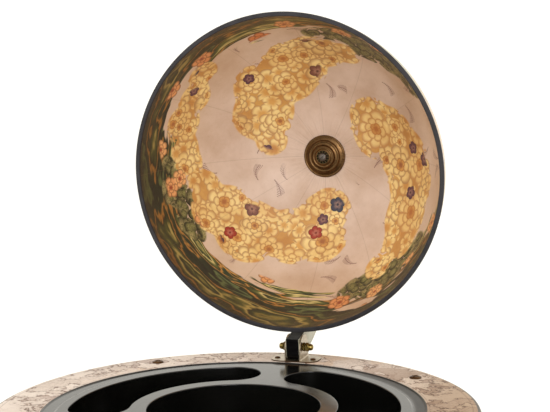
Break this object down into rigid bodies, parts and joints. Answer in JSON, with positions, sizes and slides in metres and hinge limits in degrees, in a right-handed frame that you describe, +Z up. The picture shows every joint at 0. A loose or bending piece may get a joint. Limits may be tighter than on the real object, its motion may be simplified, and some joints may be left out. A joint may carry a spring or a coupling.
{
  "type": "floor globe bar",
  "caption": "Floor-standing globe drinks cabinet: hinged hemisphere lid on a meridian arm, moulded bottle tray in a horizon ring, turned legs, round shelf and casters.",
  "frame": {"origin": "centre of the lower shelf's top face, on the globe's upright axis", "axes": "+Z up, +Y from the globe's axis towards the lid's hinge, +X to the right seen from the front"},
  "size_m": [0.534, 0.7305, 1.0854],
  "materials": {
    "black_edge": "black painted board",
    "chart_print": "printed sheet under varnish",
    "globe_shell": "printed shell under varnish",
    "lining_print": "printed lining, satin",
    "rim_black": "dark satin band",
    "tray_black": "gloss black moulding",
    "bracket_steel": "plated steel",
    "bolt_steel": "plain steel",
    "fastener_brass": "brassed steel",
    "antique_bronze": "dark antique brass, worn on the ridges",
    "fitting_brass": "polished brass",
    "dark_wood": "dark stained wood, satin",
    "wheel_black": "black wheel"
  },
  "bodies": {
    "stand": {"horizon_ring": "black_edge", "horizon_print": "chart_print", "lower_globe": "globe_shell", "bottle_tray": "tray_black", "hinge_bracket": "bracket_steel", "hinge_bolt": "bolt_steel", "south_nut": "bolt_steel", "hanger_bolt_1": "bolt_steel", "hanger_bolt_2": "bolt_steel", "hanger_bolt_3": "bolt_steel", "hanger_bolt_4": "bolt_steel", "hinge_lock_nut": "fastener_brass", "hinge_cap_nut_left": "fastener_brass", "hinge_cap_nut_right": "fastener_brass", "bracket_screw_left": "fastener_brass", "bracket_screw_right": "fastener_brass", "leg_bolt_1": "fastener_brass", "leg_bolt_2": "fastener_brass", "leg_bolt_3": "fastener_brass", "leg_bolt_4": "fastener_brass", "south_cap": "fitting_brass", "caster_socket_1": "fitting_brass", "caster_socket_2": "fitting_brass", "caster_socket_3": "fitting_brass", "caster_socket_4": "fitting_brass", "lower_shelf": "dark_wood", "leg_1": "dark_wood", "leg_2": "dark_wood", "leg_3": "dark_wood", "leg_4": "dark_wood", "foot_1": "dark_wood", "foot_2": "dark_wood", "foot_3": "dark_wood", "foot_4": "dark_wood"},
    "lid": {"lid_shell": "globe_shell", "lid_lining": "lining_print", "lid_rim_band": "rim_black", "meridian_bar": "black_edge", "meridian_print_left": "chart_print", "meridian_print_right": "chart_print", "hinge_bush": "fastener_brass", "rosette": "antique_bronze", "star_washer": "antique_bronze", "rosette_screw": "bolt_steel", "pole_spacer": "dark_wood", "lid_finial": "fitting_brass"},
    "caster_1": {"caster_fork_1": "fitting_brass", "caster_axle_1": "bolt_steel"},
    "wheel_1": {"caster_wheel_1": "wheel_black"},
    "caster_2": {"caster_fork_2": "fitting_brass", "caster_axle_2": "bolt_steel"},
    "wheel_2": {"caster_wheel_2": "wheel_black"},
    "caster_3": {"caster_fork_3": "fitting_brass", "caster_axle_3": "bolt_steel"},
    "wheel_3": {"caster_wheel_3": "wheel_black"},
    "caster_4": {"caster_fork_4": "fitting_brass", "caster_axle_4": "bolt_steel"},
    "wheel_4": {"caster_wheel_4": "wheel_black"}
  },
  "joints": [
    {"name": "lid_hinge", "type": "hinge", "parent": "stand", "child": "lid", "pos_m": [0, 0.2254, 0.5495], "axis": [1, 0, 0], "range_deg": [0, 85]},
    {"name": "caster_swivel_1", "type": "hinge", "parent": "stand", "child": "caster_1", "pos_m": [0.16829, 0.16829, -0.06], "axis": [0, 0, 1], "continuous": true},
    {"name": "wheel_spin_1", "type": "hinge", "parent": "caster_1", "child": "wheel_1", "pos_m": [0.16829, 0.18229, -0.0939], "axis": [1, 0, 0], "continuous": true},
    {"name": "caster_swivel_2", "type": "hinge", "parent": "stand", "child": "caster_2", "pos_m": [-0.16829, 0.16829, -0.06], "axis": [0, 0, 1], "continuous": true},
    {"name": "wheel_spin_2", "type": "hinge", "parent": "caster_2", "child": "wheel_2", "pos_m": [-0.16829, 0.18229, -0.0939], "axis": [1, 0, 0], "continuous": true},
    {"name": "caster_swivel_3", "type": "hinge", "parent": "stand", "child": "caster_3", "pos_m": [-0.16829, -0.16829, -0.06], "axis": [0, 0, 1], "continuous": true},
    {"name": "wheel_spin_3", "type": "hinge", "parent": "caster_3", "child": "wheel_3", "pos_m": [-0.16829, -0.15429, -0.0939], "axis": [1, 0, 0], "continuous": true},
    {"name": "caster_swivel_4", "type": "hinge", "parent": "stand", "child": "caster_4", "pos_m": [0.16829, -0.16829, -0.06], "axis": [0, 0, 1], "continuous": true},
    {"name": "wheel_spin_4", "type": "hinge", "parent": "caster_4", "child": "wheel_4", "pos_m": [0.16829, -0.15429, -0.0939], "axis": [1, 0, 0], "continuous": true}
  ]
}
